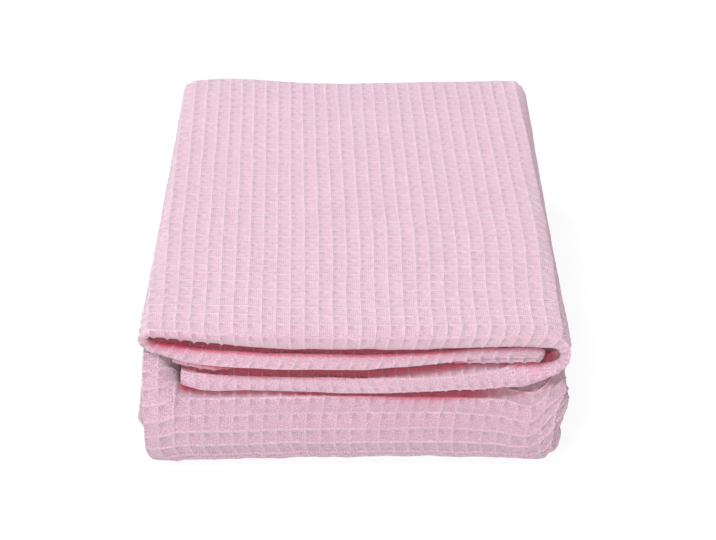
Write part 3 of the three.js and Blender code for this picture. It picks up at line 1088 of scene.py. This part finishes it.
class MakeCloth(bpy.types.Operator):
    """Makes the folded cloth with its raised waffle weave"""

    bl_idname = "throw.make_cloth"
    bl_label = "Make the folded cloth"

    def execute(self, context):
        sizes = context.scene.throw_sizes
        mesh_data = ClothMesh(Weave(sizes.cell_width * 1000, sizes.cell_length * 1000))
        cloth = cloth_object(mesh_data, sizes)
        tree = waffle_tree()
        modifier = cloth.modifiers.new("waffle ridges", "NODES")
        modifier.node_group = tree
        values = {
            "Ridge Height": sizes.ridge_height,
            "Pit Depth": sizes.pit_depth,
            "Ridge Width": sizes.ridge_width,
            "Unevenness": sizes.unevenness,
            "Seed": sizes.seed,
            "Material": cotton_material(sizes),
        }
        for socket in tree.interface.items_tree:
            if socket.in_out == "INPUT" and socket.name in values:
                modifier[socket.identifier] = values[socket.name]
        piece = settled(cloth, "waffle_throw")
        if open_edges(piece.data):
            raise RuntimeError("the cloth's mesh is not closed")
        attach(piece, "root")
        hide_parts("folded_throw")
        return {"FINISHED"}


# The camera stands in front, above the stack, and looks down on it
CAMERA_PLACE = (0.00305, -1.2922, 0.865)
CAMERA_DOWN = 32.6
CAMERA_LENS = 88.0

# Half of the floor's width, and the places that the lamps shine from, in metres
FLOOR_HALF = 6.0
LIGHTS = {
    "key light": {"place": (-0.95, 1.45, 1.5), "size": (1.1, 0.8), "colour": (0.95, 0.98, 1.0)},
    "front light": {"place": (-0.2, -2.45, 1.3), "size": (1.8, 1.2), "colour": (1.0, 0.95, 0.92)},
    "top light": {"place": (-0.4, -0.9, 2.4), "size": (0.9, 0.7), "colour": (1.0, 1.0, 1.0)},
}


class MakeStage(bpy.types.Operator):
    """Makes the floor, the lights and the camera"""

    bl_idname = "throw.make_stage"
    bl_label = "Make the stage"

    def execute(self, context):
        scene = context.scene
        looks = scene.throw_stage
        mesh = bpy.data.meshes.new("floor")
        corners = [(x * FLOOR_HALF, y * FLOOR_HALF, 0)
                   for x, y in ((-1, -1), (1, -1), (1, 1), (-1, 1))]
        mesh.from_pydata(corners, [], [(0, 1, 2, 3)])
        floor = bpy.data.objects.new("floor", mesh)
        scene.collection.objects.link(floor)
        paint = bpy.data.materials.new("pale floor")
        paint.use_nodes = True
        maker = NodeMaker(paint.node_tree)
        shader = maker.add("ShaderNodeBsdfPrincipled", values={
            "Base Color": (*looks.floor_colour, 1), "Roughness": 0.9,
            "Specular IOR Level": 0.1, "Emission Color": (1, 1, 1, 1),
            "Emission Strength": looks.floor_glow})
        maker.add("ShaderNodeOutputMaterial", values={"Surface": maker.wire(shader)})
        mesh.materials.append(paint)

        world = bpy.data.worlds.new("soft light")
        world.use_nodes = True
        maker = NodeMaker(world.node_tree)
        sky = maker.add("ShaderNodeBackground", values={
            "Color": (1, 1, 1, 1), "Strength": looks.sky_strength})
        maker.add("ShaderNodeOutputWorld", values={"Surface": maker.wire(sky)})
        scene.world = world
        scene.view_settings.view_transform = "Standard"

        powers = {"key light": looks.key_power, "front light": looks.fill_power,
                  "top light": looks.top_power}
        for name, light in LIGHTS.items():
            lamp = bpy.data.lights.new(name, "AREA")
            lamp.shape = "RECTANGLE"
            lamp.size, lamp.size_y = light["size"]
            lamp.color = light["colour"]
            lamp.energy = powers[name]
            holder = bpy.data.objects.new(name, lamp)
            holder.location = light["place"]
            holder.rotation_euler = holder.location.to_track_quat("Z", "Y").to_euler()
            scene.collection.objects.link(holder)

        lens = bpy.data.cameras.new("camera")
        lens.lens = CAMERA_LENS
        camera = bpy.data.objects.new("camera", lens)
        camera.location = CAMERA_PLACE
        camera.rotation_euler = (math.radians(90 - CAMERA_DOWN), 0, 0)
        scene.collection.objects.link(camera)
        scene.camera = camera
        return {"FINISHED"}


class ThrowPanel(bpy.types.Panel):
    """Sizes and colours of the throw, and the buttons that make it"""

    bl_idname = "VIEW3D_PT_throw"
    bl_label = "Folded waffle throw"
    bl_space_type = "VIEW_3D"
    bl_region_type = "UI"
    bl_category = "Throw"

    def draw(self, context):
        for group in (context.scene.throw_sizes, context.scene.throw_stage):
            for name in group.__annotations__:
                self.layout.prop(group, name)
        for operator in (MakeCloth, MakeStage):
            self.layout.operator(operator.bl_idname)


CLASSES = (ThrowSizes, ThrowStage, MakeCloth, MakeStage, ThrowPanel)


def register():
    for item in CLASSES:
        bpy.utils.register_class(item)
    bpy.types.Scene.throw_sizes = bpy.props.PointerProperty(type=ThrowSizes)
    bpy.types.Scene.throw_stage = bpy.props.PointerProperty(type=ThrowStage)


def unregister():
    del bpy.types.Scene.throw_stage
    del bpy.types.Scene.throw_sizes
    for item in reversed(CLASSES):
        bpy.utils.unregister_class(item)


def main():
    register()
    bpy.ops.throw.make_cloth()
    bpy.ops.throw.make_stage()


if __name__ == "__main__":
    main()
